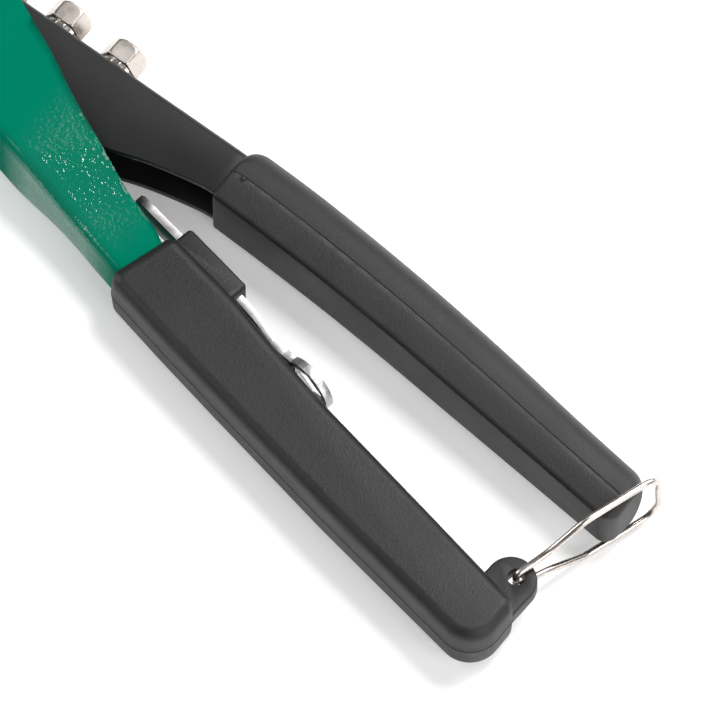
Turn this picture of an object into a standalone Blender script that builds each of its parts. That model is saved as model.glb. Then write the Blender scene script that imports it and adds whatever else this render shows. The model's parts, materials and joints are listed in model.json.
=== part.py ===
"""Long-arm hand riveter lying on its side, built as an assembly of separate pieces.

Design frame, in millimetres: X runs from the nose axis along the fixed arm to the grips,
Y is the direction the nose points, Z is up, and Z = 0 is the mid-plane of both handles.
The finished model is moved so that its box stands on Z = 0, centred on the origin.
"""
import math

import bmesh
import bpy
from mathutils import Matrix, Vector

MM = 0.001
GAP = 0.3                    # clearance between pieces that touch

# fixed arm: a folded steel channel, open towards the lever
ARM_HALF = 8.25
ARM_SHEET = 2.0
ARM_FOLD = 2.5
TANG_HALF = 7.0              # the arm narrows inside its grip
TANG_END = 204.0
ARM_STATIONS = [             # x, outer (web) face y, inner edge y, half width
    (-11, 0, -19, ARM_HALF), (-8, 0, -23.5, ARM_HALF), (-2, 0, -26.5, ARM_HALF), (8, 0, -27.3, ARM_HALF),
    (30, 0, -27.3, ARM_HALF), (45, 0, -26, ARM_HALF), (60, 0, -23.9, ARM_HALF), (73, 0, -20.8, ARM_HALF),
    (85, 0, -17, ARM_HALF), (95, 0, -14.7, ARM_HALF), (100, 0, -13.8, ARM_HALF), (102.5, 0, -13.6, ARM_HALF),
    (112, -0.4, -12.8, TANG_HALF), (140, -1.8, -13.8, TANG_HALF), (170, -4.2, -16, TANG_HALF),
    (TANG_END, -8.4, -19, TANG_HALF)]

# fixed grip
GRIP_FRONT = 103.7
GRIP_END = 235.0
GRIP_OUTER = [(103.7, 4.4), (123, 3.8), (144, 2.3), (162, 0.6), (187, -2.5), (210, -5.9), (221.5, -7.8),
              (222.7, -8.3), (225.9, -8.3), (227.1, -8.0), (235, -8.4)]
GRIP_INNER = [(103.7, -15.1), (120, -15.7), (140, -16.8), (160, -18.4), (180, -20.4), (200, -22.4), (235, -26)]
GRIP_HALF = [(103.7, 10.3), (140, 10.1), (180, 9.6), (215, 8.9), (235, 8.6)]

# lever: a folded steel channel whose cheeks straddle the fixed arm
LEVER_SHEET = 2.2
LEVER_FOLD = 3.0
CHEEK_HALF = 11.0
LEVER_TANG_HALF = 7.5
JOGGLE = (68.5, 93.0)        # the cheeks step in between these x values
LEVER_STATIONS = [           # x, inner (upper) edge y, web face y
    (34, -2.0, -30.6), (39, -4.3, -31.6), (49, -8.9, -34), (59, -14.2, -36.5), (66, -17.6, -38),
    (70, -19.4, -38.8), (74, -21.2, -39.7), (79, -23.4, -40.9), (84, -25.5, -42.1), (88, -27, -43.2),
    (92, -28.2, -44.2), (96, -29.4, -45.2), (100, -31.3, -46.2), (104, -33.4, -47.2), (130, -38, -52.5),
    (160, -45, -58), (204, -54, -66.5)]
HEAD_OUTLINE = [(39, -4.3, 0), (29, 0.3, 7), (14, 0.6, 9), (-8, -9.5, 8), (-8, -24.5, 7), (6, -28.6, 6),
                (34, -30.6, 0), (39, -31.6, 0)]
LEVER_GRIP_HALF = 9.0
LEVER_GRIP_OUTLINE = [       # x, y, corner radius
    (101.9, -28.3, 3.6), (125, -32.8, 60), (140, -37.0, 60), (160, -42.0, 90), (180, -46.0, 0),
    (200, -50.0, 0), (218, -53.7, 0), (230, -56.2, 4.2), (230, -74.6, 8.5), (216, -72.1, 0), (196, -68.6, 0),
    (176, -65.1, 0), (156, -61.1, 0), (136, -57.1, 0), (116, -52.9, 0), (95.6, -48.3, 4.2)]
GRIP_CROWN = [(0, 0), (5.2, 0.25), (6.8, 0.85), (8.1, 1.9), (9.0, 3.4)]    # height, inset of the outline

# spanner and the sleeve that holds it on the lever grip
SPANNER_LINE = [(88, -24.2), (126, -31.4), (139, -35.2), (146, -36.3), (159, -39.0)]
SPANNER_THICK = 2.2
SHANK_HALF = 4.0
RING_R = 7.3
RING_CENTRE = 65.2
RING_FLATS = 10.2            # hexagon hole, across flats
SLEEVE_X = (103.8, 124.6)
SLEEVE_HALF = 6.8
SLEEVE_WALL = 1.5

# ear and wire bail
EAR_CENTRE = (223.7, -50.4)
EAR_R = 6.4
EAR_HALF = 2.4
BAIL_PIVOT = (223.9, -49.0)
EAR_HOLE_R = 2.2
WIRE_R = 0.9
BAIL_TOP_Y = -6.9
BAIL_HALF = 10.4
BAIL_REST = math.radians(18.5)    # swung just off the fixed grip's end, so that the lever is free

# lever pivot, jaw case and nose
PULL_ARM = 16.0
SWING_HALF = math.radians(13.5)
PIVOT = (PULL_ARM * math.cos(SWING_HALF), -14.5)
STUD_Y = PIVOT[1] - PULL_ARM * math.sin(SWING_HALF)
PIN_R = 3.0
PIN_HALF = 12.4
STUD_R = 2.5
CASE_R = 5.95
CASE_BORE = 4.0
CASE_FRONT = -0.5
CASE_REAR = -30.5
GROOVE_HALF = 2.8
CONE_BACK = -8.5
JAW_CONE = math.radians(12)
SLEEVE_TOP = 14.0
SPARE_X = (26.2, 43.6, 61.0)
SPARE_BORES = (1.25, 1.65, 2.05)
NOSE_BORE = 2.45
HEX_FLATS = 10.0

BLACK_PAINT = ("black_paint", (0.035, 0.035, 0.036, 1), 0.45, 0.0)
GREEN_PAINT = ("green_paint", (0.0, 0.22, 0.13, 1), 0.25, 0.0)
GRIP_PLASTIC = ("grip_plastic", (0.055, 0.055, 0.057, 1), 0.6, 0.0)
NICKEL = ("nickel_plate", (0.75, 0.70, 0.65, 1), 0.2, 1.0)
ZINC = ("zinc_plate", (0.62, 0.60, 0.61, 1), 0.35, 1.0)
STEEL = ("hardened_steel", (0.30, 0.29, 0.28, 1), 0.4, 1.0)


def clear_scene():
    for obj in list(bpy.data.objects):
        bpy.data.objects.remove(obj, do_unlink=True)


def material(spec):
    name, colour, roughness, metallic = spec
    mat = bpy.data.materials.get(name)
    if mat is None:
        mat = bpy.data.materials.new(name)
        mat.use_nodes = True
        shader = mat.node_tree.nodes["Principled BSDF"]
        shader.inputs["Base Color"].default_value = colour
        shader.inputs["Roughness"].default_value = roughness
        shader.inputs["Metallic"].default_value = metallic
    return mat


def empty(name, x, y, parent=None):
    obj = bpy.data.objects.new(name, None)
    obj.location = (x * MM, y * MM, 0)
    obj.parent = parent
    bpy.context.collection.objects.link(obj)
    return obj


def make(name, bm, spec, parent):
    """Turn a bmesh drawn in design millimetres into an object whose origin is its parent's axis."""
    bmesh.ops.recalc_face_normals(bm, faces=bm.faces)
    if bm.calc_volume(signed=True) < 0:
        bmesh.ops.reverse_faces(bm, faces=bm.faces)
    bm.transform(Matrix.Scale(MM, 4))
    if parent is not None:
        bm.transform(Matrix.Translation(-parent.location))
    mesh = bpy.data.meshes.new(name)
    bm.to_mesh(mesh)
    bm.free()
    mesh.shade_smooth()
    mesh.set_sharp_from_angle(angle=math.radians(35))
    obj = bpy.data.objects.new(name, mesh)
    obj.parent = parent
    if spec is not None:
        mesh.materials.append(material(spec))
    bpy.context.collection.objects.link(obj)
    return obj


def combine(obj, bm, operation, parent):
    """Boolean a hidden helper solid into an object."""
    tool = make(obj.name + "_tool", bm, None, parent)
    tool.hide_render = True
    tool.display_type = 'WIRE'
    mod = obj.modifiers.new(operation.lower(), 'BOOLEAN')
    mod.operation = operation
    mod.solver = 'EXACT'
    mod.object = tool


def interpolate(table, x):
    """Value at x on straight lines between the table's points."""
    if x <= table[0][0]:
        return table[0][1]
    for (x0, y0), (x1, y1) in zip(table, table[1:]):
        if x <= x1:
            return y0 + (y1 - y0) * (x - x0) / (x1 - x0)
    return table[-1][1]


def loft(loops):
    """Skin over equal-length loops of points, closed with a flat face at each end."""
    bm = bmesh.new()
    rings = [[bm.verts.new(p) for p in loop] for loop in loops]
    count = len(rings[0])
    for a, b in zip(rings, rings[1:]):
        for i in range(count):
            j = (i + 1) % count
            bm.faces.new((a[i], a[j], b[j], b[i]))
    bm.faces.new(rings[0])
    bm.faces.new(reversed(rings[-1]))
    return bm


def prism(outline, low, high):
    return loft([[(x, y, low) for x, y in outline], [(x, y, high) for x, y in outline]])


def rounded(points, steps=4):
    """Plan outline with an arc in place of each corner that has a radius."""
    result = []
    count = len(points)
    for i, (x, y, radius) in enumerate(points):
        here = Vector((x, y))
        if radius == 0:
            result.append((x, y))
            continue
        back = (Vector(points[i - 1][:2]) - here).normalized()
        ahead = (Vector(points[(i + 1) % count][:2]) - here).normalized()
        half = back.angle(ahead) / 2
        reach = radius / math.tan(half)
        middle = here + (back + ahead).normalized() * (radius / math.sin(half))
        start = here + back * reach - middle
        turn = start.angle_signed(here + ahead * reach - middle)
        number = max(2, min(steps, int(abs(turn) * 8)))
        for k in range(number + 1):
            p = middle + Matrix.Rotation(-turn * k / number, 2) @ start
            result.append((p.x, p.y))
    return result


def inset(outline, distance):
    """Move each point of a counter-clockwise or clockwise outline inwards along its mean normal."""
    area = sum(a[0] * b[1] - b[0] * a[1] for a, b in zip(outline, outline[1:] + outline[:1]))
    side = 1 if area > 0 else -1
    result = []
    for i, (x, y) in enumerate(outline):
        before = Vector(outline[i - 1])
        after = Vector(outline[(i + 1) % len(outline)])
        here = Vector((x, y))
        n0 = Vector((-(here - before).y, (here - before).x)).normalized()
        n1 = Vector((-(after - here).y, (after - here).x)).normalized()
        mean = (n0 + n1).normalized()
        step = distance / max(0.5, mean.dot(n0))
        result.append((x + side * mean.x * step, y + side * mean.y * step))
    return result


def turned(profile, x, y, direction, segments=32, start=0.0, sweep=None):
    """Revolve (radius, height) points about an axis at (x, y); direction 'Y' points the heights along Y.

    A profile that starts and ends on the axis makes a solid; any other profile is a closed ring section.
    """
    bm = bmesh.new()
    full = sweep is None
    solid = profile[0][0] == 0 and profile[-1][0] == 0
    angle = math.tau if full else sweep
    count = segments if full else segments + 1
    rings = []
    for k in range(count):
        a = start + angle * k / segments
        ring = []
        for radius, height in profile:
            if direction == 'Y':
                ring.append(bm.verts.new((x + radius * math.cos(a), height, radius * math.sin(a))))
            else:
                ring.append(bm.verts.new((x + radius * math.cos(a), y + radius * math.sin(a), height)))
        rings.append(ring)
    pairs = list(zip(rings, rings[1:]))
    if full:
        pairs.append((rings[-1], rings[0]))
    size = len(profile)
    for a, b in pairs:
        for i in range(size - 1 if solid else size):
            j = (i + 1) % size
            bm.faces.new((a[i], a[j], b[j], b[i]))
    if solid:
        bmesh.ops.remove_doubles(bm, verts=bm.verts, dist=0.0001)
    if not full:
        bm.faces.new(rings[0])
        bm.faces.new(reversed(rings[-1]))
    return bm


def rod(radius, low, high, x, y, direction='Z', segments=24):
    """Plain cutter cylinder."""
    bm = bmesh.new()
    bmesh.ops.create_cone(bm, cap_ends=True, segments=segments, radius1=radius, radius2=radius, depth=high - low)
    middle = (low + high) / 2
    if direction == 'Y':
        bm.transform(Matrix.Translation((x, middle, 0)) @ Matrix.Rotation(math.pi / 2, 4, 'X'))
    else:
        bm.transform(Matrix.Translation((x, y, middle)))
    return bm


def sweep_wire(path, radius, sides=8):
    """Round wire along a path, closed with a flat face at each end."""
    points = [Vector(p) for p in path]
    loops = []
    normal = None
    for i, p in enumerate(points):
        tangent = (points[min(i + 1, len(points) - 1)] - points[max(i - 1, 0)]).normalized()
        if normal is None:
            normal = tangent.orthogonal().normalized()
        normal = (normal - tangent * normal.dot(tangent)).normalized()
        other = tangent.cross(normal)
        loops.append([p + radius * (normal * math.cos(t) + other * math.sin(t))
                      for t in (math.tau * k / sides for k in range(sides))])
    return loft(loops)


def channel_loop(x, web_y, edge_y, half, sheet, fold, steps=4):
    """Cross-section of a folded channel at x: web at web_y, cheek edges at edge_y."""
    side = 1 if edge_y < web_y else -1
    loop = [(x, edge_y, half)]
    for radius, wall, order in ((fold, 0, range(steps + 1)), (fold - sheet, sheet, range(steps, -1, -1))):
        radius = max(radius, 0.3)
        corner = [(radius * (1 - math.sin(a)), radius * (1 - math.cos(a)))
                  for a in (math.pi / 2 * k / steps for k in range(steps + 1))]
        upper = [(x, web_y - side * (wall + dy), half - wall - dz) for dy, dz in
                 ((c[0], c[1]) for c in corner)]
        lower = [(px, py, -pz) for px, py, pz in reversed(upper)]
        if wall == 0:
            loop += upper + lower + [(x, edge_y, -half), (x, edge_y, -half + sheet)]
        else:
            loop += list(reversed(lower)) + list(reversed(upper)) + [(x, edge_y, half - sheet)]
    return loop


def core_loop(x, web_y, edge_y, half, fold, steps=3):
    """Filled envelope of a channel section, grown by the clearance."""
    side = 1 if edge_y < web_y else -1
    top = web_y + side * GAP
    low = edge_y - side * GAP
    wide = half + GAP
    loop = [(x, low, wide)]
    for k in range(steps + 1):
        a = math.pi / 2 * k / steps
        loop.append((x, top - side * fold * (1 - math.sin(a)), wide - fold * (1 - math.cos(a))))
    loop += [(px, py, -pz) for px, py, pz in reversed(loop)]
    return loop


def end_inset(distance, radius):
    """How far a rounded corner pulls its edge in, at a distance from the end."""
    if distance >= radius:
        return 0.0
    return radius - math.sqrt(max(0.0, radius ** 2 - (radius - distance) ** 2))


# ---- fixed arm -------------------------------------------------------------------------------

def arm_channel(parent):
    loops = [channel_loop(x, web, edge, half, ARM_SHEET, ARM_FOLD) for x, web, edge, half in ARM_STATIONS]
    obj = make("arm_channel", loft(loops), BLACK_PAINT, parent)
    combine(obj, rod(7.3, -3, 1, 0, 0, 'Y'), 'DIFFERENCE', parent)
    for x in SPARE_X:
        combine(obj, rod(4.3, -3, 1, x, 0, 'Y'), 'DIFFERENCE', parent)
    combine(obj, rod(PIN_R + GAP, -10, 10, *PIVOT), 'DIFFERENCE', parent)
    slot = rounded([(-3.4, STUD_Y - 3.4, 3.3), (3.4, STUD_Y - 3.4, 3.3), (3.4, -7.2, 3.3), (-3.4, -7.2, 3.3)])
    combine(obj, prism(slot, -10, 10), 'DIFFERENCE', parent)


def grip_section(x, outer, inner, half, steps=5):
    """D section: flat inner side with tight corners, domed faces, round outer side."""
    centre = inner + 0.52 * (outer - inner)
    reach = outer - centre
    edge = half - 0.9
    loop = [(x, inner, edge - 1.2), (x, inner + 0.35, edge - 0.35), (x, inner + 1.2, edge)]
    loop.append((x, (inner + centre) / 2, half - 0.2))
    for k in range(steps + 1):
        a = math.pi / 2 * k / steps
        loop.append((x, centre + reach * math.sin(a) ** 0.94, half * math.cos(a) ** 0.86 if k < steps else 0))
    loop += [(px, py, -pz) for px, py, pz in reversed(loop[:-1])]
    return loop


def arm_grip(parent):
    stations = [GRIP_FRONT, 104.2, 105.2, 107.5, 116, 128, 140, 152, 164, 176, 188, 200, 211, 221.5, 222.7,
                225.9, 227.1, 230, 232.4, 233.8, 234.6, GRIP_END]
    loops = []
    for x in stations:
        front = x - GRIP_FRONT
        back = GRIP_END - x
        outer = interpolate(GRIP_OUTER, x) - end_inset(front, 4.0) * 0.8 - end_inset(back, 5.0)
        inner = interpolate(GRIP_INNER, x) + end_inset(front, 0.8) + end_inset(back, 4.5)
        half = interpolate(GRIP_HALF, x) - end_inset(front, 0.8) - end_inset(back, 2.6)
        loops.append(grip_section(x, outer, inner, half))
    obj = make("arm_grip", loft(loops), GRIP_PLASTIC, parent)
    cores = [core_loop(102, 0, -13.7, ARM_HALF, ARM_FOLD)]
    cores += [core_loop(x, web, edge, half, ARM_FOLD) for x, web, edge, half in ARM_STATIONS[11:-1]]
    end_x, end_web, end_edge, end_half = ARM_STATIONS[-1]
    cores.append(core_loop(end_x + GAP, end_web, end_edge, end_half, ARM_FOLD))
    combine(obj, loft(cores), 'DIFFERENCE', parent)


def hex_nose(name, x, seat, bore, parent):
    """Nosepiece: threaded shank, recessed neck, hexagon and domed tip, drilled through."""
    corner = HEX_FLATS / math.sqrt(3)
    body = [(bore, seat - 5.5), (3.6, seat - 5.5), (4.0, seat - 5.0), (4.0, seat + 0.35), (4.7, seat + 0.35),
            (4.7, seat + 3.0), (bore, seat + 3.0)]
    obj = make(name, turned(body, x, 0, 'Y', 24), NICKEL, parent)
    hexagon = bmesh.new()
    bmesh.ops.create_cone(hexagon, cap_ends=True, segments=6, radius1=corner, radius2=corner, depth=6.2)
    hexagon.transform(Matrix.Translation((x, seat + 5.1, 0)) @ Matrix.Rotation(math.pi / 2, 4, 'X')
                      @ Matrix.Rotation(math.pi / 6, 4, 'Z'))      # a flat faces up
    combine(obj, hexagon, 'UNION', parent)
    shell = [(bore, seat - 6), (6.3, seat - 6), (6.3, seat + 1.0), (5.3, seat + 1.0), (6.1, seat + 2.2),
             (6.1, seat + 5.6), (5.5, seat + 6.7), (4.6, seat + 7.7), (3.6, seat + 8.2), (bore, seat + 8.2)]
    combine(obj, turned(shell, x, 0, 'Y', 24), 'INTERSECT', parent)


def head_sleeve(parent):
    profile = [(6.3, -2.0), (7.0, -2.0), (7.0, 0.3), (8.4, 0.3), (8.4, SLEEVE_TOP - 1.5), (7.2, SLEEVE_TOP),
               (4.3, SLEEVE_TOP), (4.3, 8.5), (6.3, 8.5)]
    make("head_sleeve", turned(profile, 0, 0, 'Y', 32), BLACK_PAINT, parent)


def pivot_pin(parent):
    x, y = PIVOT
    profile = [(0, -PIN_HALF), (2.6, -PIN_HALF), (PIN_R, -PIN_HALF + 0.2), (2.4, -PIN_HALF + 0.21),
               (2.4, -11.35), (PIN_R, -11.34), (PIN_R, 11.3), (5.2, 11.3), (5.2, 12.0), (4.4, PIN_HALF),
               (0, PIN_HALF)]
    make("pivot_pin", turned(profile, x, y, 'Z', 24), ZINC, parent)
    clip = [(2.7, -12.05), (5.0, -12.05), (5.0, -11.45), (2.7, -11.45)]
    make("pivot_clip", turned(clip, x, y, 'Z', 20, math.radians(30), math.radians(300)), STEEL, parent)


def opening_spring(parent):
    """Torsion spring round the pivot pin; one leg bears on the arm's web, the other on the lever's."""
    x, y = PIVOT
    coil = 4.7
    turns = 4.25
    rise = 7.0
    steps = int(turns * 16)
    path = [(x + coil, -3.4, -rise / 2), (x + coil, -8, -rise / 2), (x + coil, y + 3, -rise / 2)]
    for k in range(steps + 1):
        a = -math.tau * turns * k / steps
        path.append((x + coil * math.cos(a), y + coil * math.sin(a), -rise / 2 + rise * k / steps))
    last = Vector(path[-1])
    path += [tuple(last + Vector((5, -0.4, 0.05))), tuple(last + Vector((13, -3.6, 0.1))), (37.5, -27.2, rise / 2)]
    make("opening_spring", sweep_wire(path, 0.6, 6), STEEL, parent)


# ---- lever -----------------------------------------------------------------------------------

def cheek_half(x):
    t = min(1.0, max(0.0, (x - JOGGLE[0]) / (JOGGLE[1] - JOGGLE[0])))
    return CHEEK_HALF + (LEVER_TANG_HALF - CHEEK_HALF) * t * t * (3 - 2 * t)


def lever_channel(parent):
    loops = [channel_loop(x, web, edge, cheek_half(x), LEVER_SHEET, LEVER_FOLD) for x, edge, web in LEVER_STATIONS]
    obj = make("lever_channel", loft(loops), GREEN_PAINT, parent)
    outline = rounded(HEAD_OUTLINE, 6)
    for low, high in ((CHEEK_HALF - LEVER_SHEET, CHEEK_HALF), (-CHEEK_HALF, LEVER_SHEET - CHEEK_HALF)):
        combine(obj, prism(outline[:-1] + [(38.2, -28.6)], low, high), 'UNION', parent)
    combine(obj, rod(PIN_R + GAP, -14, 14, *PIVOT), 'DIFFERENCE', parent)
    combine(obj, rod(STUD_R + GAP, -14, 14, 0, STUD_Y), 'DIFFERENCE', parent)


def pull_studs(parent):
    """Two short studs that reach through the arm's slots into the jaw case's groove."""
    for name, side in (("pull_stud_upper", 1), ("pull_stud_lower", -1)):
        profile = [(0, 5.1), (2.2, 5.1), (STUD_R, 5.4), (STUD_R, 11.3), (4.0, 11.3), (4.0, 11.8), (3.3, 12.2),
                   (0, 12.2)]
        profile = [(r, side * h) for r, h in profile]
        make(name, turned(profile, 0, STUD_Y, 'Z', 20), ZINC, parent)


def sleeve_frame():
    """Unit vectors along and away from the lever grip's inner face, at the spanner sleeve."""
    a = Vector(SPANNER_LINE[0])
    b = Vector(SPANNER_LINE[1])
    along = (b - a).normalized()
    return along, Vector((-along.y, along.x))


def sleeve_box(low_x, high_x, under, over, half):
    """Block round the spanner's shank, between two offsets from the shank's middle."""
    along, away = sleeve_frame()
    a = Vector(SPANNER_LINE[0])
    corners = []
    for x, offset in ((low_x, under), (high_x, under), (high_x, over), (low_x, over)):
        p = a + along * ((x - a.x) / along.x) + away * offset
        corners.append((p.x, p.y))
    return prism(corners, -half, half)


def lever_grip(parent):
    outline = rounded(LEVER_GRIP_OUTLINE, 5)
    levels = [(-h, d) for h, d in reversed(GRIP_CROWN[1:])] + GRIP_CROWN
    loops = [[(x, y, z) for x, y in inset(outline, d)] for z, d in levels]
    obj = make("lever_grip", loft(loops), GRIP_PLASTIC, parent)
    outer = SPANNER_THICK / 2 + 0.35 + SLEEVE_WALL
    combine(obj, sleeve_box(*SLEEVE_X, -5, outer, SLEEVE_HALF), 'UNION', parent)
    ear = rounded([(216.5, -60, 0), (EAR_CENTRE[0] - EAR_R, -44, EAR_R - 0.1), (230.1, -44, EAR_R - 0.1),
                   (229.4, -60, 0)], 8)
    combine(obj, prism(ear, -EAR_HALF, EAR_HALF), 'UNION', parent)
    slot = SPANNER_THICK / 2 + 0.35
    combine(obj, sleeve_box(95, 135, -slot, slot, SHANK_HALF + 0.4), 'DIFFERENCE', parent)
    combine(obj, rod(EAR_HOLE_R, -6, 6, *BAIL_PIVOT), 'DIFFERENCE', parent)
    cores = [core_loop(94, -44.7, -28.9, LEVER_TANG_HALF, LEVER_FOLD)]
    cores += [core_loop(x, web, edge, LEVER_TANG_HALF, LEVER_FOLD) for x, edge, web in LEVER_STATIONS[11:-1]]
    end_x, end_edge, end_web = LEVER_STATIONS[-1]
    cores.append(core_loop(end_x + GAP, end_web, end_edge, LEVER_TANG_HALF, LEVER_FOLD))
    combine(obj, loft(cores), 'DIFFERENCE', parent)


def spanner_outline():
    """Upper half of the spanner's flat pattern: (distance along it, half width), round head last."""
    upper = [(0, 2.6), (1.2, SHANK_HALF), (40, SHANK_HALF), (52, 3.6), (56, 3.5)]
    start = math.pi - math.asin(3.7 / RING_R)
    return upper + [(RING_CENTRE + RING_R * math.cos(a), RING_R * math.sin(a))
                    for a in (start - start * k / 12 for k in range(13))]


def spanner(parent):
    upper = spanner_outline()
    flat = upper + [(s, -w) for s, w in reversed(upper[:-1])]
    bm = prism(flat, -SPANNER_THICK / 2, SPANNER_THICK / 2)
    lengths = [0.0]
    line = [Vector(p) for p in SPANNER_LINE]
    for a, b in zip(line, line[1:]):
        lengths.append(lengths[-1] + (b - a).length)
    for s in lengths[1:-1]:
        for near in (-1.2, 0, 1.2):
            geometry = bm.verts[:] + bm.edges[:] + bm.faces[:]
            bmesh.ops.bisect_plane(bm, geom=geometry, plane_co=(s + near, 0, 0), plane_no=(1, 0, 0))
    for vert in bm.verts:
        s, across, through = vert.co
        i = max(k for k in range(len(line) - 1) if s >= lengths[k] - 1e-6 or k == 0)
        along = (line[i + 1] - line[i]).normalized()
        if i > 0 and s - lengths[i] < 0.6:
            along = (along + (line[i] - line[i - 1]).normalized()).normalized()
        away = Vector((-along.y, along.x))
        p = line[i] + (line[i + 1] - line[i]).normalized() * (s - lengths[i]) + away * through
        vert.co = (p.x, p.y, across)
    obj = make("spanner", bm, ZINC, parent)
    along = (line[-1] - line[-2]).normalized()
    middle = line[-2] + along * (RING_CENTRE - lengths[-2])
    corner = RING_FLATS / math.sqrt(3)
    hexagon = bmesh.new()
    bmesh.ops.create_cone(hexagon, cap_ends=True, segments=6, radius1=corner, radius2=corner, depth=12)
    aim = Vector((-along.y, along.x, 0)).to_track_quat('Z', 'Y').to_matrix().to_4x4()
    hexagon.transform(Matrix.Translation((middle.x, middle.y, 0)) @ aim)
    combine(obj, hexagon, 'DIFFERENCE', parent)


def wire_bail(parent):
    """Closed loop over the fixed grip; its two ends turn into the ear's hole from either side."""
    x, pivot_y = BAIL_PIVOT
    half = [(pivot_y, 0.5), (pivot_y, 2.4), (pivot_y + 0.5, 3.5), (pivot_y + 1.6, 4.2), (pivot_y + 6, 5.4),
            (pivot_y + 20, 9.7), (pivot_y + 23, BAIL_HALF), (-14, BAIL_HALF), (-9.6, BAIL_HALF - 0.4),
            (-7.8, BAIL_HALF - 2.0), (BAIL_TOP_Y, BAIL_HALF - 4.6), (BAIL_TOP_Y, 0)]
    path = []
    for y, z in half + [(y, -z) for y, z in reversed(half[:-1])]:
        reach = y - pivot_y
        path.append((x + reach * math.sin(BAIL_REST), pivot_y + reach * math.cos(BAIL_REST), z))
    make("wire_bail", sweep_wire(path, WIRE_R, 10), NICKEL, parent)


# ---- jaw case --------------------------------------------------------------------------------

def jaw_case(parent):
    cone_front = CASE_BORE - (CASE_FRONT - CONE_BACK) * math.tan(JAW_CONE)
    profile = [(cone_front, CASE_FRONT), (CASE_R - 0.8, CASE_FRONT), (CASE_R, CASE_FRONT - 0.8),
               (CASE_R, STUD_Y + GROOVE_HALF), (4.75, STUD_Y + GROOVE_HALF), (4.75, STUD_Y - GROOVE_HALF),
               (CASE_R, STUD_Y - GROOVE_HALF), (CASE_R, CASE_REAR), (CASE_BORE, CASE_REAR),
               (CASE_BORE, CONE_BACK)]
    make("jaw_case", turned(profile, 0, 0, 'Y', 28), STEEL, parent)
    cap = [(1.3, CASE_REAR + 3.5), (3.7, CASE_REAR + 3.5), (3.7, CASE_REAR - 0.3), (5.8, CASE_REAR - 0.3),
           (5.8, CASE_REAR - 1.6), (5.4, CASE_REAR - 2.0), (1.3, CASE_REAR - 2.0)]
    make("case_cap", turned(cap, 0, 0, 'Y', 24), ZINC, parent)
    coil = 2.9
    turns = 6
    steps = turns * 12
    front = -15.0
    back = CASE_REAR + 4.4
    path = [(coil * math.cos(math.tau * turns * k / steps), front + (back - front) * k / steps,
             coil * math.sin(math.tau * turns * k / steps)) for k in range(steps + 1)]
    make("jaw_spring", sweep_wire(path, 0.4, 6), STEEL, parent)


def jaw(name, middle_angle, parent):
    """Half of the split gripping cone, with a half-round groove for the rivet mandrel."""
    front = CASE_FRONT - 1.4
    back = CONE_BACK - 0.3
    back_r = CASE_BORE - GAP
    front_r = back_r - (front - back) * math.tan(JAW_CONE)
    profile = [(0.9, front), (front_r, front), (back_r, back), (0.9, back)]
    sweep = math.radians(166)
    make(name, turned(profile, 0, 0, 'Y', 12, middle_angle - sweep / 2, sweep), STEEL, parent)


def jaw_pusher(parent):
    profile = [(1.1, -9.2), (3.0, -9.2), (3.7, -10.0), (3.7, -13.5), (1.1, -13.5)]
    make("jaw_pusher", turned(profile, 0, 0, 'Y', 24), ZINC, parent)


def stand_on_floor(root):
    """Move the whole assembly so that its box is centred on the origin with its base at Z = 0."""
    bpy.context.view_layer.update()
    graph = bpy.context.evaluated_depsgraph_get()
    points = []
    for obj in bpy.context.scene.objects:
        if obj.type == 'MESH' and not obj.hide_render:
            shape = obj.evaluated_get(graph)
            points += [shape.matrix_world @ v.co for v in shape.data.vertices]
    low = Vector([min(p[i] for p in points) for i in range(3)])
    high = Vector([max(p[i] for p in points) for i in range(3)])
    root.location = (-(low.x + high.x) / 2, -(low.y + high.y) / 2, -low.z)
    bpy.context.view_layer.update()


def main():
    clear_scene()
    root = empty("riveter", 0, 0)
    lever = empty("lever_axis", *PIVOT, root)
    bail = empty("bail_axis", *BAIL_PIVOT, root)
    arm_channel(root)
    arm_grip(root)
    head_sleeve(root)
    hex_nose("nosepiece", 0, SLEEVE_TOP, NOSE_BORE, root)
    for number, (x, bore) in enumerate(zip(SPARE_X, SPARE_BORES), 1):
        hex_nose(f"spare_nosepiece_{number}", x, 0, bore, root)
    pivot_pin(root)
    opening_spring(root)
    lever_channel(lever)
    pull_studs(lever)
    lever_grip(lever)
    spanner(lever)
    wire_bail(bail)
    jaw_case(root)
    jaw("jaw_left", math.pi, root)
    jaw("jaw_right", 0.0, root)
    jaw_pusher(root)
    stand_on_floor(root)


main()
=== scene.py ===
"""Looks of the long-arm hand riveter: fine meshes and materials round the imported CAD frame.

Shapes are drawn in design millimetres (X along the arm from the nose axis, Y the way the nose
points, Z = 0 on the handles' mid-plane) and placed by the frame's own lever joint.
"""
import json
import math

import bmesh
import bpy
from mathutils import Matrix, Vector


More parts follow.
